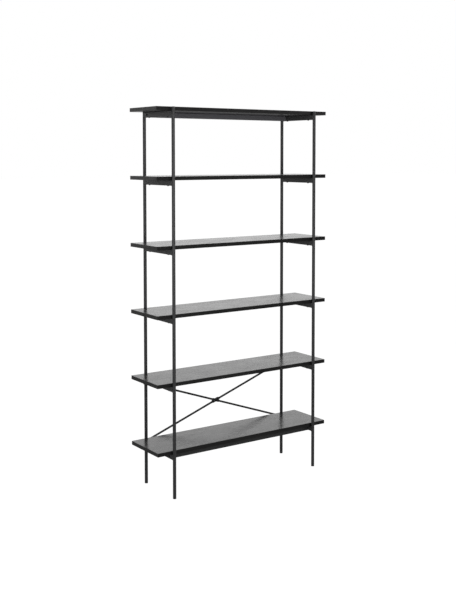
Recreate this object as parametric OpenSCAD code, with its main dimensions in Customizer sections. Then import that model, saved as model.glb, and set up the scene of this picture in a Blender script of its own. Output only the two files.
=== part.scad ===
// Open bookcase: six shelf boards carried between two welded side frames of
// round steel tube, a rail under the top shelf at the rear, a rail under the
// bottom shelf at the front, and a crossed pair of bracing rods behind the
// lowest bay. Millimetres, +X along the shelves, +Y to the rear, +Z up.
// The origin is on the floor, under the middle of the shelf boards.

/* [Shelf boards] */
// Length of each shelf board, edging included
shelf_w = 1000; // [900:10:1100]
// Depth of each shelf board, edging included
shelf_d = 250; // [230:5:280]
// Thickness of each shelf board, veneer included
board_t = 18; // [16:1:22]
// Thickness of the edging round each board
band_t = 1; // [0.6:0.1:1.5]
// Height of the lowest shelf's top face above the floor
first_top = 226; // [215:1:260]
// Height from one shelf top to the next
shelf_pitch = 320; // [300:5:340]

/* [Side frames] */
// Outside diameter of the round posts
post_d = 16; // [15:0.5:20]
// Wall thickness of the posts
post_wall = 1.5; // [1.2:0.1:2]
// Distance from the board's end to the centre of the posts
overhang = 84; // [60:1:110]
// Gap between a board's long edge and the posts beside it
post_gap = 0.5; // [0.3:0.1:1]
// Height of the crossbars and rails
bar_h = 25; // [22:1:30]
// Width of the crossbars and rails
bar_w = 15; // [14:1:18]
// Wall thickness of the crossbars and rails
bar_wall = 1.5; // [1.2:0.1:2]

/* [Rails and screws] */
// Distance of each rail's centre line from the middle of the boards
rail_y = 97.5; // [95:0.5:105]
// Distance of the board screws from the middle of the boards
screw_y = 86; // [70:1:86]
// Shank diameter of the board screws
screw_d = 4.5; // [4:0.5:5]
// Length of a board screw inside the board
screw_bite = 13; // [8:1:14]
// Shank diameter of the bolts that hold the rails
bolt_d = 6; // [5:1:6]

/* [Bracing rods] */
// Diameter of the bracing rods
rod_d = 10; // [8:1:10]
// Thickness of the flattened parts of the rods
flat_t = 4; // [3:0.25:4.5]
// Width of the flattened ends and of the rear rod's flattened middle
flat_w = 18; // [16:1:18]
// Width of the front rod's flattened middle
flat_w2 = 14; // [12:1:15]
// Height of the lower pair of rod ends above the floor
brace_lo = 202; // [195:1:206]
// Height of the upper pair of rod ends above the floor
brace_hi = 495; // [460:1:497]
// Diameter of the brace screws
pin_d = 5; // [4:1:5]

/* [Feet] */
// Diameter of the threaded stem of each levelling foot
stem_d = 8; // [6:1:8]
// Radial clearance of the stem in its insert
stem_fit = 0.05; // [0.02:0.01:0.1]
// Height of each foot's pad
pad_h = 5; // [4:0.5:8]
// Gap between a foot screwed fully in and its insert
pad_gap = 0.5; // [0.4:0.1:1]

/* [Hidden] */
$fn = 64;

black_wood = [0.12, 0.12, 0.12];
black_edge = [0.08, 0.08, 0.08];
black_steel = [0.16, 0.165, 0.17];
black_screw = [0.10, 0.10, 0.11];
black_plastic = [0.05, 0.05, 0.05];

post_r = post_d / 2;
post_x = shelf_w / 2 - overhang;                 // posts and crossbars, left and right of the middle
post_y = shelf_d / 2 + post_gap + post_r;        // posts, in front of and behind the boards
top_of = [for (i = [0:5]) first_top + i * shelf_pitch];
height = top_of[5];                              // the posts end level with the top shelf
bore_r = post_r - post_wall;
cap_t = 2;                                       // visible flange of a post cap
flange_t = 3;                                    // visible flange of a foot insert
post_lo = pad_h + pad_gap + flange_t;            // lower end of the steel posts
rail_half = post_x - bar_w / 2;                  // rails end at the crossbars' inner faces
rod_y = post_y + post_r + rod_d / 2;             // the rods run behind the rear posts
rod_a = atan2(brace_hi - brace_lo, 2 * post_x);  // slope of the rods
rod_half = sqrt(pow(post_x, 2) + pow((brace_hi - brace_lo) / 2, 2));
brace_z = (brace_hi + brace_lo) / 2;

// A screw with a domed head that points up +Z: the head's flat underside is at
// z = 0, the shank runs up, and the six-sided socket opens downwards.
module screw(d, len, head_d, head_h, socket) {
    difference() {
        rotate_extrude()
            polygon([[0, -head_h], [head_d * 0.30, -head_h], [head_d * 0.44, -head_h * 0.72], [head_d / 2, -head_h * 0.25],
                     [head_d / 2, 0], [d / 2, 0], [d / 2, len - 1], [d / 2 - 0.6, len], [0, len]]);
        translate([0, 0, -head_h - 1]) cylinder(h = 1 + head_h * 0.6, d = socket, $fn = 6);
    }
}

// Board core with the four blind holes that the board screws bite into.
module shelf_board(i) {
    top = top_of[i - 1];
    color(black_wood)
    difference() {
        translate([-shelf_w / 2 + band_t, -shelf_d / 2 + band_t, top - board_t])
            cube([shelf_w - 2 * band_t, shelf_d - 2 * band_t, board_t]);
        for (sx = [-1, 1], sy = [-1, 1])
            translate([sx * post_x, sy * screw_y, top - board_t - 1]) cylinder(h = screw_bite + 1, d = screw_d);
    }
}

// Edging glued round all four edges of a board.
module edge_band(i) {
    top = top_of[i - 1];
    color(black_edge)
    difference() {
        translate([-shelf_w / 2, -shelf_d / 2, top - board_t]) cube([shelf_w, shelf_d, board_t]);
        translate([-shelf_w / 2 + band_t, -shelf_d / 2 + band_t, top - board_t - 1])
            cube([shelf_w - 2 * band_t, shelf_d - 2 * band_t, board_t + 2]);
    }
}

// Round tube post. A rear post has two threaded holes in its rear wall.
module post(sx, sy) {
    color(black_steel)
    translate([sx * post_x, sy * post_y, 0])
    difference() {
        translate([0, 0, post_lo]) cylinder(h = height - cap_t - post_lo, r = post_r);
        translate([0, 0, post_lo - 1]) cylinder(h = height, r = bore_r);
        if (sy > 0)
            for (z = [brace_lo, brace_hi])
                translate([0, post_r / 2, z]) rotate([-90, 0, 0]) cylinder(h = post_r, d = pin_d);
    }
}

// Rectangular tube welded between a front and a rear post, its ends coped to
// the round posts. rail_side is -1 or 1 where a rail is bolted on, else 0.
module crossbar(sx, i, rail_side = 0) {
    z0 = top_of[i - 1] - board_t - bar_h;
    color(black_steel)
    difference() {
        translate([sx * post_x - bar_w / 2, -post_y, z0]) cube([bar_w, 2 * post_y, bar_h]);
        translate([sx * post_x - bar_w / 2 + bar_wall, -post_y - 1, z0 + bar_wall])
            cube([bar_w - 2 * bar_wall, 2 * post_y + 2, bar_h - 2 * bar_wall]);
        for (sy = [-1, 1]) {
            translate([sx * post_x, sy * post_y, z0 - 1]) cylinder(h = bar_h + 2, r = post_r);
            translate([sx * post_x, sy * screw_y, z0 - 1]) cylinder(h = bar_h + 2, d = screw_d + 0.4);
        }
        if (rail_side != 0)
            translate([sx * post_x - bar_w, rail_side * rail_y, z0 + bar_h / 2])
                rotate([0, 90, 0]) cylinder(h = 2 * bar_w, d = bolt_d + 0.4);
    }
}

// Rectangular tube rail between the crossbars of one shelf.
module rail(i, side) {
    z0 = top_of[i - 1] - board_t - bar_h;
    color(black_steel)
    difference() {
        translate([-rail_half, side * rail_y - bar_w / 2, z0]) cube([2 * rail_half, bar_w, bar_h]);
        translate([-rail_half - 1, side * rail_y - bar_w / 2 + bar_wall, z0 + bar_wall])
            cube([2 * rail_half + 2, bar_w - 2 * bar_wall, bar_h - 2 * bar_wall]);
    }
}

// Threaded plugs pressed into the ends of both rails.
plug_l = 20;
module rail_end_plugs() {
    color(black_screw)
    for (s = [[6, 1], [1, -1]], sx = [-1, 1])
        difference() {
            translate([sx * (rail_half - plug_l / 2) - plug_l / 2, s[1] * rail_y - bar_w / 2 + bar_wall,
                       top_of[s[0] - 1] - board_t - bar_h + bar_wall])
                cube([plug_l, bar_w - 2 * bar_wall, bar_h - 2 * bar_wall]);
            translate([sx * (rail_half - plug_l / 2) - plug_l, s[1] * rail_y, top_of[s[0] - 1] - board_t - bar_h / 2])
                rotate([0, 90, 0]) cylinder(h = 2 * plug_l, d = bolt_d);
        }
}

// Bolts from outside each crossbar into the plugs.
module rail_bolts() {
    color(black_screw)
    for (s = [[6, 1], [1, -1]], sx = [-1, 1])
        translate([sx * (post_x + bar_w / 2), s[1] * rail_y, top_of[s[0] - 1] - board_t - bar_h / 2])
            rotate([0, -sx * 90, 0]) screw(bolt_d, bar_w + 14, 10.5, 2.7, 4);
}

// Four screws for each board, up through the crossbars from below.
module board_screws() {
    color(black_screw)
    for (i = [1:6], sx = [-1, 1], sy = [-1, 1])
        translate([sx * post_x, sy * screw_y, top_of[i - 1] - board_t - bar_h])
            screw(screw_d, bar_h + screw_bite, 9, 2.4, 3);
}

// Flat with rounded ends from x = x0 to x1, lying in the plane of the brace.
module flat_bar(x0, x1, w, y0) {
    translate([0, y0 + flat_t, 0]) rotate([90, 0, 0]) linear_extrude(height = flat_t) union() {
        translate([x0 + w / 2, -w / 2]) square([x1 - x0 - w, w]);
        translate([x0 + w / 2, 0]) circle(d = w);
        translate([x1 - w / 2, 0]) circle(d = w);
    }
}

// One bracing rod: round bar with flattened ends that lie on the rear posts,
// and a flattened middle where it is screwed to the other rod.
// dir is 1 for the rod that rises to the right, -1 for the one that falls.
module brace_rod(dir, mid_w, mid_half, mid_y) {
    color(black_steel)
    translate([0, rod_y, brace_z]) rotate([0, -dir * rod_a, 0])
    difference() {
        union() {
            for (s = [-1, 1])
                translate([s > 0 ? mid_half : -rod_half + 24, 0, 0])
                    rotate([0, 90, 0]) cylinder(h = rod_half - 24 - mid_half, d = rod_d);
            flat_bar(-mid_half - 8, mid_half + 8, mid_w, mid_y);
            flat_bar(rod_half - 36, rod_half + 9, flat_w, -rod_d / 2);
            flat_bar(-rod_half - 9, -rod_half + 36, flat_w, -rod_d / 2);
        }
        for (x = [-rod_half, 0, rod_half])
            translate([x, rod_d, 0]) rotate([90, 0, 0]) cylinder(h = 2 * rod_d, d = pin_d);
    }
}

// Screws that hold the rods' ends to the rear posts, heads to the rear.
module brace_end_screws() {
    color(black_screw)
    for (sx = [-1, 1], z = [brace_lo, brace_hi])
        translate([sx * post_x, post_y + post_r + flat_t, z]) rotate([90, 0, 0]) screw(pin_d, flat_t + 8, 9.5, 2.5, 3);
}

// Screw through both rods where they cross, head to the front.
module brace_centre_screw() {
    color(black_screw)
    translate([0, rod_y - flat_t, brace_z]) rotate([-90, 0, 0]) screw(pin_d, 2 * flat_t + 4, 9.5, 2.5, 3);
}

// Nut on the centre screw, behind the rods.
module brace_centre_nut() {
    color(black_screw)
    translate([0, rod_y + flat_t, brace_z]) rotate([-90, 0, 0])
    difference() {
        cylinder(h = 3.5, d = 9.2, $fn = 6);
        translate([0, 0, -1]) cylinder(h = 6, d = pin_d);
    }
}

// Plastic cap in the top of a post.
module post_cap(sx, sy) {
    color(black_plastic)
    translate([sx * post_x, sy * post_y, height]) rotate_extrude()
        polygon([[0, 0], [post_r - 1, 0], [post_r - 0.3, -0.3], [post_r, -1], [post_r, -cap_t],
                 [bore_r, -cap_t], [bore_r, -14], [bore_r - 1, -15], [0, -15]]);
}

// Plastic insert in the bottom of a post, bored for the foot's stem.
module foot_insert(sx, sy) {
    color(black_plastic)
    translate([sx * post_x, sy * post_y, post_lo])
    difference() {
        union() {
            translate([0, 0, -flange_t]) cylinder(h = flange_t, r = post_r);
            cylinder(h = 24, r = bore_r);
        }
        translate([0, 0, -flange_t - 1]) cylinder(h = 30, r = stem_d / 2 + stem_fit);
    }
}

// Threaded steel stem of a levelling foot.
module foot_stem(sx, sy) {
    color(black_screw)
    translate([sx * post_x, sy * post_y, 1]) cylinder(h = 29, d = stem_d);
}

// Plastic pad moulded round the lower end of the stem.
module foot_pad(sx, sy) {
    color(black_plastic)
    translate([sx * post_x, sy * post_y, 0]) rotate_extrude()
        polygon([[0, 0], [post_r - 1, 0], [post_r, 1], [post_r, pad_h - 0.5], [post_r - 0.5, pad_h],
                 [stem_d / 2, pad_h], [stem_d / 2, 1], [0, 1]]);
}

shelf_board(1);  // shelf_board_1
shelf_board(2);  // shelf_board_2
shelf_board(3);  // shelf_board_3
shelf_board(4);  // shelf_board_4
shelf_board(5);  // shelf_board_5
shelf_board(6);  // shelf_board_6
edge_band(1);  // edge_band_1
edge_band(2);  // edge_band_2
edge_band(3);  // edge_band_3
edge_band(4);  // edge_band_4
edge_band(5);  // edge_band_5
edge_band(6);  // edge_band_6
post(-1, -1);  // post_front_left
post(1, -1);  // post_front_right
post(-1, 1);  // post_rear_left
post(1, 1);  // post_rear_right
crossbar(-1, 1, -1);  // crossbar_left_1
crossbar(-1, 2);  // crossbar_left_2
crossbar(-1, 3);  // crossbar_left_3
crossbar(-1, 4);  // crossbar_left_4
crossbar(-1, 5);  // crossbar_left_5
crossbar(-1, 6, 1);  // crossbar_left_6
crossbar(1, 1, -1);  // crossbar_right_1
crossbar(1, 2);  // crossbar_right_2
crossbar(1, 3);  // crossbar_right_3
crossbar(1, 4);  // crossbar_right_4
crossbar(1, 5);  // crossbar_right_5
crossbar(1, 6, 1);  // crossbar_right_6
rail(6, 1);  // top_rear_rail
rail(1, -1);  // bottom_front_rail
rail_end_plugs();
rail_bolts();
board_screws();
brace_rod(-1, flat_w2, 22, -flat_t);  // brace_rod_front
brace_rod(1, flat_w, 20, 0);  // brace_rod_rear
brace_end_screws();
brace_centre_screw();
brace_centre_nut();
post_cap(-1, -1);  // post_cap_front_left
post_cap(1, -1);  // post_cap_front_right
post_cap(-1, 1);  // post_cap_rear_left
post_cap(1, 1);  // post_cap_rear_right
foot_insert(-1, -1);  // foot_insert_front_left
foot_insert(1, -1);  // foot_insert_front_right
foot_insert(-1, 1);  // foot_insert_rear_left
foot_insert(1, 1);  // foot_insert_rear_right
foot_stem(-1, -1);  // foot_stem_front_left
foot_stem(1, -1);  // foot_stem_front_right
foot_stem(-1, 1);  // foot_stem_rear_left
foot_stem(1, 1);  // foot_stem_rear_right
foot_pad(-1, -1);  // foot_pad_front_left
foot_pad(1, -1);  // foot_pad_front_right
foot_pad(-1, 1);  // foot_pad_rear_left
foot_pad(1, 1);  // foot_pad_rear_right
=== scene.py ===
import math

import bpy
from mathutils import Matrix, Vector


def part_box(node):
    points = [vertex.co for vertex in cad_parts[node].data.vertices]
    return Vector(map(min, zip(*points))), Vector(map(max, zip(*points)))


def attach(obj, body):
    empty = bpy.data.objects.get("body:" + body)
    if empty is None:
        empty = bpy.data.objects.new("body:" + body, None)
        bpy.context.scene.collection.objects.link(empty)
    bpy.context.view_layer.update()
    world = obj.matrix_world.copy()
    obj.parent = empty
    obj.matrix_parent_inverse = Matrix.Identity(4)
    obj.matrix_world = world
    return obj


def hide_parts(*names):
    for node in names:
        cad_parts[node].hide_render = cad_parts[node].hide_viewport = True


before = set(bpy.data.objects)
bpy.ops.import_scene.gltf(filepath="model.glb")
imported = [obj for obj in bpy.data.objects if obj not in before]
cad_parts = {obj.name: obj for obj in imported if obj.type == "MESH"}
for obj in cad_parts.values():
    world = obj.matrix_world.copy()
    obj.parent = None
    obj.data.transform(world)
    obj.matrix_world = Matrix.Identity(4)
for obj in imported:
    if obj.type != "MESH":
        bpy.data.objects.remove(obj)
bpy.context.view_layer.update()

MM = 0.001
CORNERS = ["front_left", "front_right", "rear_left", "rear_right"]


# ---------------------------------------------------------------- measures, all read from the frame
def box(node):
    lo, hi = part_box(node)
    return Vector(lo), Vector(hi)


def mid(node):
    lo, hi = box(node)
    return (lo + hi) / 2


POST_LO = {c: box("post_" + c)[0] for c in CORNERS}
POST_HI = {c: box("post_" + c)[1] for c in CORNERS}
POST_C = {c: (POST_LO[c] + POST_HI[c]) / 2 for c in CORNERS}
POST_R = (POST_HI["front_left"].x - POST_LO["front_left"].x) / 2
POST_X = abs(POST_C["front_left"].x)
POST_Y = abs(POST_C["front_left"].y)


# ---------------------------------------------------------------- node material helpers
class Nodes:
    """A short way to write node trees."""

    def __init__(self, name):
        self.mat = bpy.data.materials.new(name)
        self.mat.use_nodes = True
        self.t = self.mat.node_tree
        self.bsdf = self.t.nodes["Principled BSDF"]
        self.tc = self.t.nodes.new("ShaderNodeTexCoord")

    def new(self, kind, **props):
        n = self.t.nodes.new(kind)
        for k, v in props.items():
            setattr(n, k, v)
        return n

    def put(self, socket, value):
        if isinstance(value, bpy.types.NodeSocket):
            self.t.links.new(value, socket)
        else:
            socket.default_value = value

    def mapping(self, scale, offset=(0, 0, 0), rotation=(0, 0, 0)):
        m = self.new("ShaderNodeMapping")
        self.put(m.inputs["Vector"], self.tc.outputs["Object"])
        m.inputs["Scale"].default_value = scale
        m.inputs["Location"].default_value = offset
        m.inputs["Rotation"].default_value = rotation
        return m.outputs["Vector"]

    def noise(self, vector, scale, detail=2.0, rough=0.5, distortion=0.0):
        n = self.new("ShaderNodeTexNoise")
        self.put(n.inputs["Vector"], vector)
        n.inputs["Scale"].default_value = scale
        n.inputs["Detail"].default_value = detail
        n.inputs["Roughness"].default_value = rough
        n.inputs["Distortion"].default_value = distortion
        return n.outputs["Fac"]

    def math(self, op, a, b=0.0, clamp=False):
        n = self.new("ShaderNodeMath", operation=op)
        n.use_clamp = clamp
        self.put(n.inputs[0], a)
        self.put(n.inputs[1], b)
        return n.outputs[0]

    def fit(self, value, lo, hi, a, b, smooth=False):
        n = self.new("ShaderNodeMapRange")
        if smooth:
            n.interpolation_type = "SMOOTHSTEP"
        self.put(n.inputs["Value"], value)
        n.inputs["From Min"].default_value = lo
        n.inputs["From Max"].default_value = hi
        n.inputs["To Min"].default_value = a
        n.inputs["To Max"].default_value = b
        return n.outputs["Result"]

    def ramp(self, value, stops):
        n = self.new("ShaderNodeValToRGB")
        self.put(n.inputs["Fac"], value)
        e = n.color_ramp.elements
        while len(e) < len(stops):
            e.new(0.5)
        for k, (pos, col) in enumerate(stops):
            e[k].position = pos
            e[k].color = (*col, 1.0)
        return n.outputs["Color"]

    def mix(self, fac, a, b):
        n = self.new("ShaderNodeMix", data_type="RGBA")
        self.put(n.inputs["Factor"], fac)
        self.put(n.inputs["A"], a)
        self.put(n.inputs["B"], b)
        return n.outputs["Result"]

    def bump(self, height, strength, distance, normal=None):
        n = self.new("ShaderNodeBump")
        n.inputs["Strength"].default_value = strength
        n.inputs["Distance"].default_value = distance
        self.put(n.inputs["Height"], height)
        if normal is not None:
            self.put(n.inputs["Normal"], normal)
        return n.outputs["Normal"]

    def edges(self, lo=0.52, hi=0.62):
        g = self.new("ShaderNodeNewGeometry")
        return self.fit(g.outputs["Pointiness"], lo, hi, 0.0, 1.0)


def wood(name, seed, edge=False):
    """Black-stained ash under satin lacquer: growth bands, open pores and a slightly uneven film."""
    n = Nodes(name)
    off = (seed * 3.71, seed * 0.377, seed * 0.913)
    warp = n.noise(n.mapping((2.2, 7.0, 7.0), off), 1.0, 2.0, 0.5)
    v = n.mapping((1.0, 1.0, 1.0), off)
    add = n.new("ShaderNodeVectorMath", operation="ADD")
    comb = n.new("ShaderNodeCombineXYZ")
    n.put(comb.inputs["Y"], n.math("MULTIPLY", n.math("SUBTRACT", warp, 0.5), 0.045))
    n.put(add.inputs[0], v)
    n.put(add.inputs[1], comb.outputs[0])
    warped = add.outputs[0]

    def stretched(sx, sy, sz):
        m = n.new("ShaderNodeMapping")
        n.put(m.inputs["Vector"], warped)
        m.inputs["Scale"].default_value = (sx, sy, sz)
        return m.outputs["Vector"]

    arch = n.new("ShaderNodeTexWave", wave_type="RINGS", rings_direction="Z", wave_profile="SAW")
    n.put(arch.inputs["Vector"], stretched(0.42, 9.0, 9.0))
    arch.inputs["Scale"].default_value = 5.5
    arch.inputs["Distortion"].default_value = 2.6
    arch.inputs["Detail"].default_value = 3.0
    arch.inputs["Detail Scale"].default_value = 1.4
    arch.inputs["Detail Roughness"].default_value = 0.55
    ring = n.fit(arch.outputs["Fac"], 0.55, 0.95, 0.0, 1.0, True)
    broad = n.noise(stretched(1.6, 34.0, 34.0), 1.0, 3.0, 0.55)
    bands = n.noise(stretched(3.0, 150.0, 150.0), 1.0, 3.0, 0.6)
    fibre = n.noise(stretched(14.0, 900.0, 900.0), 1.0, 2.0, 0.55)
    pore = n.noise(stretched(95.0, 2300.0, 2300.0), 1.0, 1.0, 0.5)
    early = n.math("MAXIMUM", n.math("MULTIPLY", n.fit(bands, 0.46, 0.66, 0.0, 1.0, True), 0.6), ring)
    pores = n.math("MULTIPLY", n.fit(pore, 0.56, 0.68, 0.0, 1.0, True), n.math("ADD", n.math("MULTIPLY", early, 0.75), 0.25))
    figure = n.math("ADD", n.math("MULTIPLY", broad, 0.45), n.math("ADD", n.math("MULTIPLY", bands, 0.35), n.math("MULTIPLY", fibre, 0.2)))
    figure = n.math("SUBTRACT", figure, n.math("MULTIPLY", ring, 0.10))
    colour = n.ramp(figure, [(0.30, (0.0050, 0.0049, 0.0049)), (0.48, (0.0095, 0.0093, 0.0093)), (0.60, (0.0150, 0.0146, 0.0144)), (0.75, (0.0230, 0.0222, 0.0216))])
    colour = n.mix(n.math("MULTIPLY", pores, 0.75), colour, (0.0028, 0.0027, 0.0027, 1.0))
    worn = n.math("MULTIPLY", n.edges(0.53, 0.66), n.fit(n.noise(n.mapping((1, 1, 1), off), 60.0, 3.0), 0.45, 0.75, 0.0, 0.55))
    colour = n.mix(worn, colour, (0.055, 0.051, 0.047, 1.0))
    n.put(n.bsdf.inputs["Base Color"], colour)
    smear = n.noise(n.mapping((3.0, 5.0, 5.0), off), 3.0, 4.0, 0.6)
    rough = n.fit(smear, 0.3, 0.7, 0.15 if not edge else 0.28, 0.22 if not edge else 0.38)
    rough = n.math("ADD", rough, n.math("MULTIPLY", fibre, 0.07))
    rough = n.math("ADD", rough, n.math("MULTIPLY", early, 0.07))
    rough = n.math("ADD", rough, n.math("MULTIPLY", pores, 0.30))
    n.put(n.bsdf.inputs["Roughness"], rough)
    n.bsdf.inputs["IOR"].default_value = 1.46
    h = n.math("SUBTRACT", n.math("MULTIPLY", bands, 0.55), n.math("MULTIPLY", pores, 0.5))
    h = n.math("ADD", h, n.math("MULTIPLY", fibre, 0.35))
    nrm = n.bump(h, 0.42, 0.00030)
    wave = n.noise(n.mapping((6.0, 22.0, 22.0), off), 1.0, 2.0)
    nrm = n.bump(wave, 0.12, 0.0006, nrm)
    n.put(n.bsdf.inputs["Normal"], nrm)
    return n.mat


def powder(name, seed=0.0, base=0.050, spread=0.014, rough=0.43, tint=(1.0, 1.005, 1.03)):
    """Matt black powder coat: orange-peel texture, fine speckle, a thin rub on hard edges."""
    n = Nodes(name)
    off = (seed * 1.7, seed * 0.61, seed * 2.3)
    v = n.mapping((1, 1, 1), off)
    peel = n.noise(v, 620.0, 2.0, 0.45)
    grit = n.noise(v, 2400.0, 1.0, 0.5)
    cloud = n.noise(n.mapping((1, 1, 0.35), off), 9.0, 4.0, 0.6)
    b, s = base, spread
    stops = [(p, tuple(v * t for t in tint)) for p, v in ((0.3, b - s * 0.5), (0.55, b), (0.8, b + s))]
    colour = n.ramp(n.math("ADD", n.math("MULTIPLY", cloud, 0.7), n.math("MULTIPLY", peel, 0.3)), stops)
    speck = n.fit(grit, 0.68, 0.76, 0.0, 0.35)
    colour = n.mix(speck, colour, (b * 2.2, b * 2.2, b * 2.25, 1.0))
    rub = n.math("MULTIPLY", n.edges(0.55, 0.70), n.fit(n.noise(v, 45.0, 3.0), 0.5, 0.8, 0.0, 0.6))
    colour = n.mix(rub, colour, (0.12, 0.12, 0.125, 1.0))
    n.put(n.bsdf.inputs["Base Color"], colour)
    r = n.fit(cloud, 0.3, 0.7, rough - 0.05, rough + 0.06)
    r = n.math("ADD", r, n.math("MULTIPLY", peel, 0.06))
    n.put(n.bsdf.inputs["Roughness"], r)
    n.bsdf.inputs["IOR"].default_value = 1.48
    nrm = n.bump(n.math("ADD", peel, n.math("MULTIPLY", grit, 0.25)), 0.22, 0.00007)
    n.put(n.bsdf.inputs["Normal"], nrm)
    return n.mat


def zinc(name):
    """Black-plated screw steel: thin plating, brighter where tools have rubbed it."""
    n = Nodes(name)
    v = n.mapping((1, 1, 1))
    tone = n.noise(v, 300.0, 3.0, 0.6)
    colour = n.ramp(tone, [(0.3, (0.020, 0.020, 0.021)), (0.6, (0.045, 0.045, 0.047)), (0.8, (0.075, 0.074, 0.073))])
    rub = n.math("MULTIPLY", n.edges(0.53, 0.64), n.fit(n.noise(v, 500.0, 2.0), 0.4, 0.7, 0.0, 0.8))
    colour = n.mix(rub, colour, (0.28, 0.28, 0.29, 1.0))
    n.put(n.bsdf.inputs["Base Color"], colour)
    n.bsdf.inputs["Metallic"].default_value = 0.85
    n.put(n.bsdf.inputs["Roughness"], n.fit(tone, 0.3, 0.7, 0.30, 0.48))
    n.put(n.bsdf.inputs["Normal"], n.bump(n.noise(v, 1800.0, 2.0), 0.15, 0.00004))
    return n.mat


def plastic(name):
    """Moulded black polyethylene with a fine spark-eroded texture."""
    n = Nodes(name)
    v = n.mapping((1, 1, 1))
    tex = n.noise(v, 1500.0, 2.0, 0.6)
    tone = n.noise(v, 120.0, 3.0, 0.5)
    colour = n.ramp(tone, [(0.3, (0.010, 0.010, 0.010)), (0.7, (0.019, 0.019, 0.020))])
    scuff = n.math("MULTIPLY", n.edges(0.54, 0.68), n.fit(n.noise(v, 220.0, 2.0), 0.45, 0.75, 0.0, 0.5))
    colour = n.mix(scuff, colour, (0.06, 0.06, 0.06, 1.0))
    n.put(n.bsdf.inputs["Base Color"], colour)
    n.put(n.bsdf.inputs["Roughness"], n.fit(tone, 0.3, 0.7, 0.52, 0.66))
    n.put(n.bsdf.inputs["Normal"], n.bump(tex, 0.30, 0.00006))
    return n.mat


MAT_STEEL = {c: powder("powder_coat_post_" + c, 1.0 + k) for k, c in enumerate(CORNERS)}
MAT_BAR = powder("powder_coat_bars", 7.3)
# The top rear rail is the same powder coat as the posts and the other rail. Its base is three times paler and bluer,
# which is painted light standing in for the bright light its front face catches under the top board.
MAT_RAIL = {"bottom_front_rail": powder("powder_coat_bottom_rail", 9.1), "top_rear_rail": powder("powder_coat_top_rail_painted_light", 10.3, base=0.150, spread=0.030, rough=0.38, tint=(0.995, 0.985, 1.07))}
MAT_ROD = powder("powder_coat_rods", 12.9)
MAT_SCREW = zinc("black_zinc")
MAT_PLASTIC = plastic("black_polyethylene")
MAT_FACE = {i: wood("black_ash_%d" % i, i * 1.37) for i in range(1, 7)}
MAT_EDGE = {i: wood("black_ash_edging_%d" % i, i * 2.11 + 0.4, edge=True) for i in range(1, 7)}


# ---------------------------------------------------------------- mesh helpers
def make(name, verts, faces, mat, body="frame", nodes=(), smooth=True, angle=38.0, weighted=False):
    """A mesh piece in the row frame, riding on a body and standing for its CAD nodes."""
    me = bpy.data.meshes.new(name)
    me.from_pydata([tuple(v) for v in verts], [], faces)
    me.validate(verbose=False)
    me.update()
    if smooth:
        me.polygons.foreach_set("use_smooth", [True] * len(me.polygons))
        me.set_sharp_from_angle(angle=math.radians(angle))
    ob = bpy.data.objects.new(name, me)
    bpy.context.scene.collection.objects.link(ob)
    me.materials.append(mat)
    if weighted:
        w = ob.modifiers.new("weighted_normals", "WEIGHTED_NORMAL")
        w.keep_sharp = True
        w.weight = 60
    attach(ob, body)
    if nodes:
        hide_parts(*nodes)
    return ob


def grid_faces(rings, count, closed=True, base=0):
    """Quads between successive rings of `count` points."""
    out = []
    span = count if closed else count - 1
    for r in range(rings - 1):
        for k in range(span):
            a = base + r * count + k
            b = base + r * count + (k + 1) % count
            out.append((a, b, b + count, a + count))
    return out


def merge(parts):
    """Joins (verts, faces) lists into one."""
    V, F = [], []
    for v, f in parts:
        o = len(V)
        V += list(v)
        F += [tuple(i + o for i in q) for q in f]
    return V, F


def lathe(profile, centre, n=48, axis="z", flip=False):
    """Revolves [(radius, height), ...] about an axis through centre; radius 0 closes the end with a fan."""
    V, F = [], []
    rings = []
    for r, h in profile:
        if r <= 1e-9:
            rings.append((len(V), 1))
            V.append((0.0, 0.0, h))
        else:
            rings.append((len(V), n))
            V += [(r * math.cos(2 * math.pi * k / n), r * math.sin(2 * math.pi * k / n), h) for k in range(n)]
    for (a, ca), (b, cb) in zip(rings, rings[1:]):
        for k in range(n):
            k2 = (k + 1) % n
            if ca == 1 and cb == 1:
                continue
            if ca == 1:
                F.append((a, b + k2, b + k))
            elif cb == 1:
                F.append((a + k, a + k2, b))
            else:
                F.append((a + k, a + k2, b + k2, b + k))
    if flip:
        F = [tuple(reversed(f)) for f in F]
    return place(V, centre, axis), F


def place(V, centre, axis="z"):
    """Turns points made about +Z so that +Z becomes the named axis, then moves them to centre."""
    turn = {
        "z": lambda x, y, z: (x, y, z),
        "-z": lambda x, y, z: (x, -y, -z),
        "y": lambda x, y, z: (x, z, -y),
        "-y": lambda x, y, z: (x, -z, y),
        "x": lambda x, y, z: (z, y, -x),
        "-x": lambda x, y, z: (-z, y, x),
    }[axis]
    c = Vector(centre)
    return [Vector(turn(*v)) + c for v in V]


def hex_r(a, flat):
    """Distance to a hexagon's side at angle a, for a given width across flats."""
    s = math.pi / 3
    return flat / 2 / math.cos((a % s) - s / 2)


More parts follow.
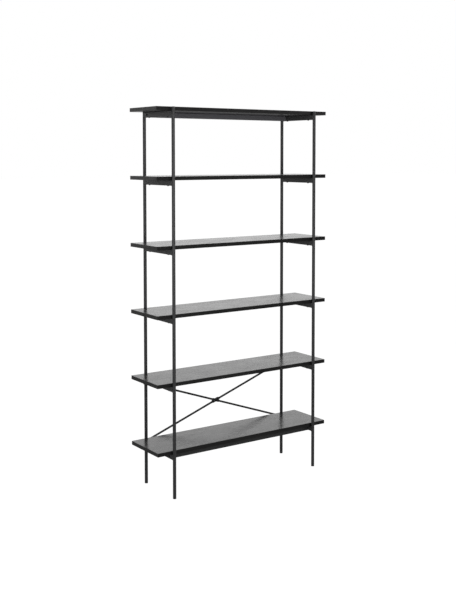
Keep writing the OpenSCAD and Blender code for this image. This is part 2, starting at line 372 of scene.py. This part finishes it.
def screw_head(d, h, socket, n=48):
    """Low domed head with a six-sided socket, flat underside at z = 0, dome towards -z (local), as rings."""
    rings = []
    prof = [(0.0, 0.0), (0.0, 0.0)]

    def circle(r, z):
        return [(r * math.cos(2 * math.pi * k / n), r * math.sin(2 * math.pi * k / n), z) for k in range(n)]

    R = d / 2
    outer = [(R * 0.97, 0.0), (R, -h * 0.06), (R, -h * 0.22)]
    for k in range(1, 8):
        t = k / 7
        outer.append((R * (1 - 0.36 * t ** 1.9), -h * (0.22 + 0.78 * math.sin(t * math.pi / 2))))
    for r, z in outer:
        rings.append(circle(r, z))
    sock = [hex_r(2 * math.pi * k / n, socket) for k in range(n)]

    def hexring(grow, z):
        return [((s + grow) * math.cos(2 * math.pi * k / n), (s + grow) * math.sin(2 * math.pi * k / n), z) for k, s in enumerate(sock)]

    rings.append(hexring(0.12 * MM, -h))
    rings.append(hexring(0.0, -h + 0.12 * MM))
    rings.append(hexring(0.0, -h * 0.38))
    rings.append(circle(socket * 0.30, -h * 0.32))
    V = [p for ring in rings for p in ring]
    F = grid_faces(len(rings), n)
    V.append((0, 0, -h * 0.26))
    last = (len(rings) - 1) * n
    F += [(last + k, last + (k + 1) % n, len(V) - 1) for k in range(n)]
    V.append((0, 0, 0))
    F += [((k + 1) % n, k, len(V) - 1) for k in range(n)]
    return V, [tuple(reversed(f)) for f in F]


def thread_rod(r, pitch, z0, z1, depth, n=28, steps=10):
    """A rod with a helical thread between z0 and z1, closed at both ends."""
    turns = (z1 - z0) / pitch
    rows = int(turns * steps)
    V = []
    for i in range(rows + 1):
        z = z0 + (z1 - z0) * i / rows
        fade = min(1.0, (z - z0) / pitch, (z1 - z) / pitch)
        for k in range(n):
            ph = (z / pitch - k / n) % 1.0
            tri = abs(ph - 0.5) * 2
            cut = depth * (1 - min(1.0, max(0.0, (tri - 0.12) / 0.76))) * max(0.0, fade)
            rr = r - cut - (0.0 if 0 < i < rows else depth * 0.9)
            a = 2 * math.pi * k / n
            V.append((rr * math.cos(a), rr * math.sin(a), z))
    F = grid_faces(rows + 1, n)
    V.append((0, 0, z0)); F += [((k + 1) % n, k, len(V) - 1) for k in range(n)]
    V.append((0, 0, z1)); t = rows * n
    F += [(t + k, t + (k + 1) % n, len(V) - 1) for k in range(n)]
    return V, F


# ---------------------------------------------------------------- shelf boards
def board_core(lo, hi, bev=0.14 * MM):
    """Board core: six faces, every edge eased, long faces cut into strips across the grain."""
    xs = [lo.x, lo.x + bev * 0.3, lo.x + bev]
    xs += [lo.x + bev + (hi.x - lo.x - 2 * bev) * k / 20 for k in range(1, 20)]
    xs += [hi.x - bev, hi.x - bev * 0.3, hi.x]
    inset = {0: bev, 1: bev * 0.3, len(xs) - 2: bev * 0.3, len(xs) - 1: bev}
    V = []
    for k, x in enumerate(xs):
        c = inset.get(k, 0.0)
        y0, y1, z0, z1 = lo.y + c, hi.y - c, lo.z + c, hi.z - c
        b = bev
        ring = [(y0 + b, z0), (y1 - b, z0), (y1 - 0.3 * b, z0 + 0.3 * b), (y1, z0 + b), (y1, z1 - b), (y1 - 0.3 * b, z1 - 0.3 * b),
                (y1 - b, z1), (y0 + b, z1), (y0 + 0.3 * b, z1 - 0.3 * b), (y0, z1 - b), (y0, z0 + b), (y0 + 0.3 * b, z0 + 0.3 * b)]
        V += [(x, y, z) for y, z in ring]
    F = [tuple(reversed(f)) for f in grid_faces(len(xs), 12)]
    F.append(tuple(range(12)))
    t = (len(xs) - 1) * 12
    F.append(tuple(reversed(range(t, t + 12))))
    return V, [tuple(reversed(f)) for f in F]


def edge_ring(lo, hi, band, ease=0.55 * MM):
    """Edging swept round the board, its outer edges rounded over."""
    zc, hz = (lo.z + hi.z) / 2, (hi.z - lo.z) / 2
    prof = [(0.0, -hz), (band - ease, -hz)]
    for k in range(1, 6):
        a = math.pi / 2 * k / 5
        prof.append((band - ease + ease * math.sin(a), -hz + ease - ease * math.cos(a)))
    prof += [(n, -z) for n, z in reversed(prof)]
    x0, x1, y0, y1 = lo.x + band, hi.x - band, lo.y + band, hi.y - band
    path = []
    for cx, cy, a0 in ((x1, y0, -90), (x1, y1, 0), (x0, y1, 90), (x0, y0, 180)):
        for k in range(6):
            a = math.radians(a0 + 90 * k / 5)
            path.append((cx, cy, math.cos(a), math.sin(a)))
    full = []
    for i, p in enumerate(path):
        full.append(p)
        q = path[(i + 1) % len(path)]
        if abs(p[2] - q[2]) < 1e-6 and abs(p[3] - q[3]) < 1e-6:
            steps = 16 if abs(p[0] - q[0]) > 0.5 else 5
            for k in range(1, steps):
                t = k / steps
                full.append((p[0] + (q[0] - p[0]) * t, p[1] + (q[1] - p[1]) * t, p[2], p[3]))
    V = [(cx + n * dx, cy + n * dy, zc + z) for cx, cy, dx, dy in full for n, z in prof]
    m = len(prof)
    F = []
    for i in range(len(full)):
        j = (i + 1) % len(full)
        for k in range(m):
            k2 = (k + 1) % m
            F.append((i * m + k, j * m + k, j * m + k2, i * m + k2))
    return V, F


for i in range(1, 7):
    lo, hi = box("shelf_board_%d" % i)
    V, F = board_core(lo, hi)
    make("board_%d" % i, V, F, MAT_FACE[i], nodes=["shelf_board_%d" % i], weighted=True)
    elo, ehi = box("edge_band_%d" % i)
    V, F = edge_ring(elo, ehi, lo.x - elo.x)
    make("edging_%d" % i, V, F, MAT_EDGE[i], nodes=["edge_band_%d" % i], weighted=True)


# ---------------------------------------------------------------- posts
for c in CORNERS:
    zl, zh = POST_LO[c].z, POST_HI[c].z
    ch, ri = 0.35 * MM, POST_R - 1.5 * MM
    prof = [(ri, zl + 20 * MM), (ri, zl + ch), (ri + ch * 0.6, zl), (POST_R - ch, zl), (POST_R - ch * 0.3, zl + ch * 0.3), (POST_R, zl + ch)]
    steps = 36
    prof += [(POST_R, zl + ch + (zh - zl - 2 * ch) * k / steps) for k in range(1, steps)]
    prof += [(POST_R, zh - ch), (POST_R - ch * 0.3, zh - ch * 0.3), (POST_R - ch, zh), (ri + ch * 0.6, zh), (ri, zh - ch), (ri, zh - 20 * MM), (ri, zl + 20 * MM)]
    V, F = lathe(prof[:-1], (POST_C[c].x, POST_C[c].y, 0), n=48)
    rings = len(prof) - 1
    F += [((rings - 1) * 48 + k, (rings - 1) * 48 + (k + 1) % 48, (k + 1) % 48, k) for k in range(48)]
    make("tube_" + c, V, F, MAT_STEEL[c], nodes=["post_" + c])


# ---------------------------------------------------------------- crossbars with welds, and rails
def rounded_section(w, h, r, seg=5, cuts=6):
    """Points round a w by h rectangle with rounded corners, counter-clockwise, with extra points along the w sides."""
    pts = []
    for cx, cz, a0 in ((w / 2 - r, -h / 2 + r, -90), (w / 2 - r, h / 2 - r, 0), (-w / 2 + r, h / 2 - r, 90), (-w / 2 + r, -h / 2 + r, 180)):
        for k in range(seg + 1):
            a = math.radians(a0 + 90 * k / seg)
            pts.append((cx + r * math.cos(a), cz + r * math.sin(a)))
        if a0 in (0, 180):
            x0, x1 = (w / 2 - r, -w / 2 + r) if a0 == 0 else (-w / 2 + r, w / 2 - r)
            z = h / 2 if a0 == 0 else -h / 2
            for k in range(1, cuts):
                pts.append((x0 + (x1 - x0) * k / cuts, z))
    return pts


def crossbar(lo, hi, inset=0.35 * MM):
    """Box-section tube whose ends are coped to the posts."""
    w, h = hi.x - lo.x, hi.z - lo.z
    cx, cz = (lo.x + hi.x) / 2, (lo.z + hi.z) / 2
    sec = rounded_section(w, h, 1.9 * MM)
    sec = [(x, z - (0.0)) for x, z in sec]
    m = len(sec)
    V = []
    ts = [-1.0, -0.97] + [-0.9 + 1.8 * k / 12 for k in range(13)] + [0.97, 1.0]
    for t in ts:
        for x, z in sec:
            end = POST_Y - math.sqrt(max(0.0, POST_R ** 2 - x * x)) + inset
            V.append((cx + x, t * end, cz + z))
    F = grid_faces(len(ts), m)
    F = [tuple(reversed(f)) for f in F]
    V.append((cx, -POST_Y + POST_R - inset, cz)); a = len(V) - 1
    V.append((cx, POST_Y - POST_R + inset, cz)); b = len(V) - 1
    t = (len(ts) - 1) * m
    F += [(a, (k + 1) % m, k) for k in range(m)]
    F += [(b, t + k, t + (k + 1) % m) for k in range(m)]
    return V, [tuple(reversed(f)) for f in F]


def weld(cx, post_y, z0, z1, w, side, seed, r=1.35 * MM):
    """A rippled fillet down one side of a crossbar's end, under it and up the other side, against the round post.
    side is 1 for a rear post, -1 for a front post."""
    path, nrm = [], []
    half = w / 2 - 0.4 * MM
    yoff = math.sqrt(max(0.0, POST_R ** 2 - half * half))
    corner = 1.9 * MM

    def contact(x):
        return post_y - side * math.sqrt(max(0.0, POST_R ** 2 - x * x))

    n1, n2 = 22, 18
    top = z1 - 0.6 * MM
    for k in range(n1 + 1):
        z = top + (z0 + corner - top) * k / n1
        path.append(Vector((cx - w / 2, contact(w / 2), z)))
    for k in range(1, 5):
        a = math.pi / 2 * k / 4
        x = -w / 2 + corner - corner * math.cos(a)
        path.append(Vector((cx + x, contact(x), z0 + corner - corner * math.sin(a))))
    for k in range(1, n2):
        x = (-w / 2 + corner) + (w - 2 * corner) * k / n2
        path.append(Vector((cx + x, contact(x), z0)))
    for k in range(4, 0, -1):
        a = math.pi / 2 * k / 4
        x = w / 2 - corner + corner * math.cos(a)
        path.append(Vector((cx + x, contact(x), z0 + corner - corner * math.sin(a))))
    for k in range(n1 + 1):
        z = z0 + corner + (top - z0 - corner) * k / n1
        path.append(Vector((cx + w / 2, contact(w / 2), z)))
    V, m = [], 10
    dist = 0.0
    for k, p in enumerate(path):
        a = path[max(0, k - 1)]
        b = path[min(len(path) - 1, k + 1)]
        t = (b - a).normalized()
        if k:
            dist += (p - path[k - 1]).length
        out = Vector((p.x - cx, (p.y - post_y) * 0.2, 0))
        if abs(t.z) < 0.7:
            out = Vector((0, 0, -1))
        u = (out - t * out.dot(t)).normalized()
        v = t.cross(u)
        ripple = 1 + 0.13 * math.sin(dist / (1.15 * MM) * 2 * math.pi + seed) + 0.10 * math.sin(dist / (5.3 * MM) + seed * 2.3)
        ends = min(1.0, 0.45 + min(k, len(path) - 1 - k) * 0.2)
        for j in range(m):
            an = 2 * math.pi * j / m
            V.append(p + (u * math.cos(an) + v * math.sin(an)) * r * ripple * ends)
    F = grid_faces(len(path), m)
    V.append(path[0]); F += [(len(V) - 1, (k + 1) % m, k) for k in range(m)]
    V.append(path[-1]); t = (len(path) - 1) * m
    F += [(len(V) - 1, t + k, t + (k + 1) % m) for k in range(m)]
    return V, F


for s in ("left", "right"):
    for i in range(1, 7):
        node = "crossbar_%s_%d" % (s, i)
        lo, hi = box(node)
        V, F = crossbar(lo, hi)
        make("bar_%s_%d" % (s, i), V, F, MAT_BAR, nodes=[node], weighted=True)
        cx = (lo.x + hi.x) / 2
        beads = [weld(cx, sy * POST_Y, lo.z, hi.z, hi.x - lo.x, sy, i * 1.9 + (3.1 if s == "left" else 0.7) + sy) for sy in (-1, 1)]
        V, F = merge(beads)
        make("welds_%s_%d" % (s, i), V, F, MAT_BAR)


def rail(lo, hi):
    sec = rounded_section(hi.y - lo.y, hi.z - lo.z, 1.9 * MM)
    cy, cz = (lo.y + hi.y) / 2, (lo.z + hi.z) / 2
    gap = 0.15 * MM
    xs = [lo.x + gap] + [lo.x + (hi.x - lo.x) * k / 24 for k in range(1, 24)] + [hi.x - gap]
    V = [(x, cy + a, cz + b) for x in xs for a, b in sec]
    m = len(sec)
    F = grid_faces(len(xs), m)
    t = (len(xs) - 1) * m
    inner = rounded_section(hi.y - lo.y - 3 * MM, hi.z - lo.z - 3 * MM, 0.9 * MM)
    depth = 4 * MM
    for x, xi, first, turn in ((xs[0], xs[0] + depth, 0, False), (xs[-1], xs[-1] - depth, t, True)):
        o = len(V)
        V += [(x, cy + a, cz + b) for a, b in inner]
        V += [(xi, cy + a, cz + b) for a, b in inner]
        ends = []
        for k in range(m):
            k2 = (k + 1) % m
            ends.append((first + k2, first + k, o + k, o + k2))
            ends.append((o + k2, o + k, o + m + k, o + m + k2))
        ends.append(tuple(o + m + k for k in reversed(range(m))))
        F += [tuple(reversed(f)) for f in ends] if turn else ends
    return V, F


for node in ("top_rear_rail", "bottom_front_rail"):
    lo, hi = box(node)
    V, F = rail(lo, hi)
    make(node + "_tube", V, F, MAT_RAIL[node], nodes=[node], weighted=True)


# ---------------------------------------------------------------- screws, bolts and plugs
def screw(centre, axis, d, length, head_d, head_h, socket):
    """Head and shank; the shank runs along axis from centre, the head stands the other way."""
    hv, hf = screw_head(head_d, head_h, socket)
    r = d / 2
    sv, sf = thread_rod(r, max(0.8, d / MM * 0.17) * MM, 0.0, length, 0.28 * MM, n=20, steps=6)
    V, F = merge([(hv, hf), (sv, sf)])
    return place(V, centre, axis), F


heads = []
for i in range(1, 7):
    for s in ("left", "right"):
        blo, bhi = box("crossbar_%s_%d" % (s, i))
        slo, shi = box("board_screws")
        ys = (slo.y + shi.y) / 2, (shi.y - slo.y) / 2 - 4.5 * MM
        for sy in (-1, 1):
            heads.append(screw(((blo.x + bhi.x) / 2, ys[0] + sy * ys[1], blo.z), "z", 4.5 * MM, 38 * MM, 9 * MM, 2.4 * MM, 3 * MM))
V, F = merge(heads)
make("board_screws_all", V, F, MAT_SCREW, nodes=["board_screws"])

bolts, plugs = [], []
for node, i, in (("top_rear_rail", 6), ("bottom_front_rail", 1)):
    rlo, rhi = box(node)
    cy, cz = (rlo.y + rhi.y) / 2, (rlo.z + rhi.z) / 2
    for s, sx in (("left", -1), ("right", 1)):
        blo, bhi = box("crossbar_%s_%d" % (s, i))
        face = blo.x if sx < 0 else bhi.x
        bolts.append(screw((face, cy, cz), "x" if sx < 0 else "-x", 6 * MM, 29 * MM, 10.5 * MM, 2.7 * MM, 4 * MM))
        end = rlo.x if sx < 0 else rhi.x
        sec = rounded_section(rhi.y - rlo.y - 3.1 * MM, rhi.z - rlo.z - 3.1 * MM, 0.8 * MM)
        xs = [end - sx * 0.3 * MM, end - sx * 20 * MM]
        PV = [(x, cy + a, cz + b) for x in xs for a, b in sec]
        m = len(sec)
        PF = grid_faces(2, m) + [tuple(reversed(range(m))), tuple(range(m, 2 * m))]
        if sx > 0:
            PF = [tuple(reversed(f)) for f in PF]
        plugs.append((PV, PF))
V, F = merge(bolts)
make("rail_bolts_all", V, F, MAT_SCREW, nodes=["rail_bolts"])
V, F = merge(plugs)
make("rail_plugs_all", V, F, MAT_SCREW, nodes=["rail_end_plugs"])


# ---------------------------------------------------------------- bracing rods
RLO, RHI = box("brace_rod_rear")
SLO, SHI = box("brace_end_screws")
ROD_Y = (RLO.y + RHI.y) / 2
ROD_R = (RHI.y - RLO.y) / 2
FLAT_T = 4 * MM
LOW_Z, HIGH_Z = SLO.z + 4.75 * MM, SHI.z - 4.75 * MM
ROD_Z = (LOW_Z + HIGH_Z) / 2
ROD_A = math.atan2(HIGH_Z - LOW_Z, 2 * POST_X)
ROD_HALF = math.hypot(POST_X, (HIGH_Z - LOW_Z) / 2)


def smooth(t):
    t = min(1.0, max(0.0, t))
    return t * t * (3 - 2 * t)


def rod(direction, mid_w, mid_half, mid_side):
    """Round bar hammered flat at both ends and at the middle, with drawn-down transitions."""
    N = 40
    tip = ROD_HALF + 9 * MM
    flat_from = ROD_HALF - 17 * MM
    blend_len = 15 * MM
    ss = []
    s = -tip
    while s < tip:
        a = abs(s)
        ss.append(s)
        if a > tip - 9 * MM:
            s += 0.9 * MM
        elif a > flat_from - blend_len - 2 * MM or a < mid_half + 9 * MM:
            s += 1.6 * MM
        else:
            s += 14 * MM
    ss.append(tip)
    V = []
    for s in ss:
        a = abs(s)
        k_end = smooth((a - (flat_from - blend_len)) / blend_len)
        k_mid = 1 - smooth((a - (mid_half - 6 * MM)) / (12 * MM))
        k = max(k_end, k_mid)
        width = 18 * MM if k_end >= k_mid else mid_w
        shift = (-ROD_R + FLAT_T / 2) if k_end >= k_mid else mid_side * FLAT_T / 2
        hw = ROD_R + (width / 2 - ROD_R) * k
        ht = ROD_R + (FLAT_T / 2 - ROD_R) * k
        over = a - (tip - 8 * MM)
        if over > 0:
            f = math.sqrt(max(0.0, 1 - (over / (8 * MM)) ** 2))
            hw *= max(f, 0.02)
        p = 2 + 5.0 * k
        for j in range(N):
            an = 2 * math.pi * j / N
            cs, sn = math.cos(an), math.sin(an)
            # a superellipse that goes from round to a flat bar with eased edges
            q = (abs(cs) ** p + abs(sn) ** p) ** (-1 / p)
            z, y = hw * cs * q, ht * sn * q + shift * k
            x = s
            V.append((x, y, z))
    c, sn_ = math.cos(ROD_A * direction), math.sin(ROD_A * direction)
    W = [(x * c - z * sn_, ROD_Y + y, ROD_Z + x * sn_ + z * c) for x, y, z in V]
    F = grid_faces(len(ss), N)
    t = (len(ss) - 1) * N
    F += [tuple(reversed(range(N))), tuple(range(t, t + N))]
    return W, F


V, F = rod(-1, 14 * MM, 20 * MM, -1)
make("rod_front", V, F, MAT_ROD, nodes=["brace_rod_front"], angle=50)
V, F = rod(1, 18 * MM, 20 * MM, 1)
make("rod_rear", V, F, MAT_ROD, nodes=["brace_rod_rear"], angle=50)

parts = []
for sx in (-1, 1):
    for z in (LOW_Z, HIGH_Z):
        parts.append(screw((sx * POST_X, POST_Y + POST_R + FLAT_T, z), "-y", 5 * MM, 12 * MM, 9.5 * MM, 2.5 * MM, 3 * MM))
V, F = merge(parts)
make("rod_end_screws", V, F, MAT_SCREW, nodes=["brace_end_screws"])
V, F = screw((0, ROD_Y - FLAT_T, ROD_Z), "y", 5 * MM, 12 * MM, 9.5 * MM, 2.5 * MM, 3 * MM)
make("rod_centre_screw", V, F, MAT_SCREW, nodes=["brace_centre_screw"])


def hex_nut(flat, h, hole, n=48):
    """Hexagon nut with chamfered corners and a threaded-looking bore."""
    def ring(f, z):
        return [(f(2 * math.pi * k / n) * math.cos(2 * math.pi * k / n), f(2 * math.pi * k / n) * math.sin(2 * math.pi * k / n), z) for k in range(n)]

    R = flat / 2
    rings = []
    for z, cap in ((0.0, R * 0.97), (0.35 * MM, R * 1.10), (0.6 * MM, 9.0), (h - 0.6 * MM, 9.0), (h - 0.35 * MM, R * 1.10), (h, R * 0.97)):
        rings.append(ring(lambda a, c=cap: min(hex_r(a, flat), c), z))
    turns = 10
    for k in range(turns + 1):
        t = k / turns
        rr = hole / 2 * (1 + (0.06 if k % 2 else -0.02)) if 0 < k < turns else hole / 2 * 1.08
        rings.append(ring(lambda a, r=rr: r, h - t * h))
    V = [p for r in rings for p in r]
    F = grid_faces(len(rings), n)
    last = (len(rings) - 1) * n
    F += [(last + k, last + (k + 1) % n, (k + 1) % n, k) for k in range(n)]
    return V, F


V, F = hex_nut(7.9 * MM, 3.5 * MM, 5 * MM)
make("rod_centre_nut", place(V, (0, ROD_Y + FLAT_T, ROD_Z), "y"), F, MAT_SCREW, nodes=["brace_centre_nut"])


# ---------------------------------------------------------------- caps, inserts and levelling feet
for c in CORNERS:
    lo, hi = box("post_cap_" + c)
    R, top = (hi.x - lo.x) / 2, hi.z
    ri = R - 1.5 * MM
    prof = [(0.0, top - 0.25 * MM), (0.8 * MM, top - 0.22 * MM), (1.0 * MM, top - 0.06 * MM), (1.5 * MM, top), (R - 1.5 * MM, top - 0.02 * MM)]
    for k in range(1, 7):
        a = math.pi / 2 * k / 6
        prof.append((R - 1.0 * MM + 0.95 * MM * math.sin(a), top - 1.0 * MM + 0.98 * MM * math.cos(a)))
    prof += [(R - 0.05 * MM, top - 1.75 * MM), (R - 0.3 * MM, top - 2.0 * MM), (ri, top - 2.0 * MM), (ri, lo.z + 1 * MM), (ri - 1 * MM, lo.z), (0.0, lo.z)]
    V, F = lathe(prof, (mid("post_cap_" + c).x, mid("post_cap_" + c).y, 0), n=48, flip=True)
    make("cap_" + c, V, F, MAT_PLASTIC, nodes=["post_cap_" + c])

    lo, hi = box("foot_insert_" + c)
    x, y = (lo.x + hi.x) / 2, (lo.y + hi.y) / 2
    R = (hi.x - lo.x) / 2
    shoulder = POST_LO[c].z
    rb = 4.06 * MM
    prof = [(rb + 0.5 * MM, lo.z), (R - 0.6 * MM, lo.z), (R - 0.2 * MM, lo.z + 0.2 * MM), (R, lo.z + 0.6 * MM), (R, shoulder - 0.35 * MM),
            (R - 0.3 * MM, shoulder), (ri, shoulder)]
    for k in range(6):
        z = shoulder + 3 * MM + k * 3.4 * MM
        prof += [(ri - 0.45 * MM, z - 1.4 * MM), (ri, z), (ri - 0.35 * MM, z + 0.3 * MM)]
    prof += [(ri - 0.9 * MM, hi.z), (rb, hi.z), (rb, lo.z + 0.5 * MM)]
    n = 48
    V, F = lathe(prof, (x, y, 0), n=n)
    last = (len(prof) - 1) * n
    F += [(last + k, last + (k + 1) % n, (k + 1) % n, k) for k in range(n)]
    make("insert_" + c, V, F, MAT_PLASTIC, nodes=["foot_insert_" + c])

    lo, hi = box("foot_stem_" + c)
    V, F = thread_rod((hi.x - lo.x) / 2, 1.25 * MM, lo.z, hi.z, 0.62 * MM, n=36, steps=12)
    make("stem_" + c, place(V, (x, y, 0)), F, MAT_SCREW, body="foot_" + c, nodes=["foot_stem_" + c])

    lo, hi = box("foot_pad_" + c)
    R, h = (hi.x - lo.x) / 2, hi.z
    n = 120
    prof = [(0.0, 0.35 * MM), (3.5 * MM, 0.35 * MM), (4.0 * MM, 0.0), (R - 1.1 * MM, 0.0), (R - 0.55 * MM, 0.18 * MM), (R - 0.15 * MM, 0.65 * MM), (R, 1.1 * MM),
            (R, h - 1.2 * MM), (R - 0.12 * MM, h - 0.8 * MM), (R - 0.5 * MM, h - 0.25 * MM), (R - 1.0 * MM, h), (4.6 * MM, h), (4.1 * MM, h - 0.4 * MM), (4.0 * MM, 1.2 * MM), (0.0, 1.2 * MM)]
    V, F = lathe(prof, (0, 0, 0), n=n, flip=False)
    out = []
    for p in V:
        rr = math.hypot(p.x, p.y)
        if rr > R - 0.3 * MM:
            a = math.atan2(p.y, p.x)
            rr2 = rr - 0.28 * MM * (0.5 - 0.5 * math.cos(a * 30)) ** 2
            p = Vector((p.x * rr2 / rr, p.y * rr2 / rr, p.z))
        out.append(p + Vector((x, y, 0)))
    make("pad_" + c, out, F, MAT_PLASTIC, body="foot_" + c, nodes=["foot_pad_" + c])


# ---------------------------------------------------------------- stage: floor, world, lights, camera
scene = bpy.context.scene

FLOOR_GLOW = 0.96     # how much of the floor's white is its own
WALL = 1.25           # brightness of the studio wall behind the object
ROOM = 0.05           # brightness of the rest of the room
FLOOR_BACK = 0.29     # what the floor gives back to the object
KEY = 22.0
TOP = 4.0
FILL = 3.0
LEFT = 6.0
RIGHT = 9.0


def floor():
    """Seamless pale floor. It glows a little, so that it stays as pale as the wall, and takes only a trace of shadow."""
    size = 60.0
    me = bpy.data.meshes.new("floor")
    me.from_pydata([(-size, -size, 0), (size, -size, 0), (size, size, 0), (-size, size, 0)], [], [(0, 1, 2, 3)])
    ob = bpy.data.objects.new("floor", me)
    scene.collection.objects.link(ob)
    n = Nodes("pale_floor")
    v = n.mapping((1, 1, 1))
    cloud = n.noise(v, 2.0, 4.0, 0.6)
    grit = n.noise(v, 240.0, 2.0, 0.5)
    n.put(n.bsdf.inputs["Base Color"], n.ramp(cloud, [(0.3, (0.15, 0.15, 0.15)), (0.7, (0.17, 0.17, 0.17))]))
    n.put(n.bsdf.inputs["Roughness"], n.fit(grit, 0.3, 0.7, 0.8, 0.95))
    n.bsdf.inputs["Specular IOR Level"].default_value = 0.0
    n.bsdf.inputs["Emission Color"].default_value = (1, 1, 1, 1)
    n.bsdf.inputs["Emission Strength"].default_value = FLOOR_GLOW
    me.materials.append(n.mat)
    ob.visible_glossy = False
    ob.visible_diffuse = False


floor()

world = bpy.data.worlds.new("studio")
scene.world = world
world.use_nodes = True
wt = world.node_tree
bg = wt.nodes["Background"]
bg.inputs["Color"].default_value = (1, 1, 1, 1)
tc = wt.nodes.new("ShaderNodeTexCoord")


def wnode(kind, **props):
    n = wt.nodes.new(kind)
    for k, v in props.items():
        setattr(n, k, v)
    return n


def wrange(value, lo, hi, a, b):
    n = wnode("ShaderNodeMapRange", interpolation_type="SMOOTHSTEP")
    wt.links.new(value, n.inputs["Value"])
    for k, v in (("From Min", lo), ("From Max", hi), ("To Min", a), ("To Max", b)):
        n.inputs[k].default_value = v
    return n.outputs["Result"]


def wmath(op, a, b):
    n = wnode("ShaderNodeMath", operation=op)
    for k, v in ((0, a), (1, b)):
        if isinstance(v, bpy.types.NodeSocket):
            wt.links.new(v, n.inputs[k])
        else:
            n.inputs[k].default_value = v
    return n.outputs[0]


sep = wnode("ShaderNodeSeparateXYZ")
wt.links.new(tc.outputs["Generated"], sep.inputs[0])
along = wnode("ShaderNodeVectorMath", operation="DOT_PRODUCT")
wt.links.new(tc.outputs["Generated"], along.inputs[0])
along.inputs[1].default_value = (0.575, 0.818, 0.0)
behind = wrange(along.outputs["Value"], 0.12, 0.62, 0.0, 1.0)
above = wrange(sep.outputs["Z"], -0.16, -0.01, 0.0, 1.0)
high = wrange(sep.outputs["Z"], 0.35, 0.9, 1.0, 0.35)
wall = wmath("MULTIPLY", wmath("MULTIPLY", behind, above), wmath("MULTIPLY", high, WALL))
loft = wmath("MULTIPLY", wrange(along.outputs["Value"], -0.20, 0.25, 0.0, 0.8), wrange(sep.outputs["Z"], 0.14, 0.40, 0.0, 1.0))
wall = wmath("MAXIMUM", wall, loft)
room = wrange(sep.outputs["Z"], -0.2, 0.05, FLOOR_BACK, ROOM)
seen = wmath("MAXIMUM", wall, room)
lp = wnode("ShaderNodeLightPath")
see = wnode("ShaderNodeMix", data_type="FLOAT")
wt.links.new(lp.outputs["Is Camera Ray"], see.inputs["Factor"])
wt.links.new(seen, see.inputs["A"])
see.inputs["B"].default_value = 1.0
wt.links.new(see.outputs["Result"], bg.inputs["Strength"])


def softbox(name, loc, target, size, power, colour=(1, 1, 1)):
    if power <= 0:
        return None
    li = bpy.data.lights.new(name, "AREA")
    li.shape = "RECTANGLE"
    li.size, li.size_y = size
    li.energy = power
    li.color = colour
    ob = bpy.data.objects.new(name, li)
    scene.collection.objects.link(ob)
    ob.location = loc
    ob.rotation_euler = (Vector(target) - Vector(loc)).to_track_quat("-Z", "Y").to_euler()
    return ob


softbox("key", (-1.05, -1.75, 1.62), (-0.2, 0.0, 1.6), (2.0, 2.0), KEY)
softbox("top", (0.2, 0.4, 3.8), (0.0, 0.0, 0.0), (2.6, 2.6), TOP)
softbox("fill", (-3.2, -4.6, 1.2), (0.0, 0.0, 0.9), (2.4, 2.4), FILL)
softbox("left", (-3.0, 0.2, 0.9), (0.0, 0.0, 0.7), (2.6, 1.8), LEFT)
softbox("right", (2.5, -2.3, 2.7), (0.1, 0.0, 0.9), (1.6, 1.6), RIGHT)

cam = bpy.data.cameras.new("camera")
cam.sensor_width = 36.0
cam.lens = 57.03
cam.shift_x = -0.0210
cam.shift_y = -0.1513
cam.clip_start, cam.clip_end = 0.05, 200.0
co = bpy.data.objects.new("camera", cam)
scene.collection.objects.link(co)
co.location = (-2.7048, -3.9263, 1.5977)
yaw, tilt = math.radians(35.11), math.radians(3.3)
look = Vector((math.sin(yaw) * math.cos(tilt), math.cos(yaw) * math.cos(tilt), -math.sin(tilt)))
co.rotation_euler = look.to_track_quat("-Z", "Y").to_euler()
scene.camera = co

scene.view_settings.view_transform = "Standard"
scene.view_settings.look = "None"
scene.view_settings.exposure = 0.0
scene.view_settings.gamma = 1.0
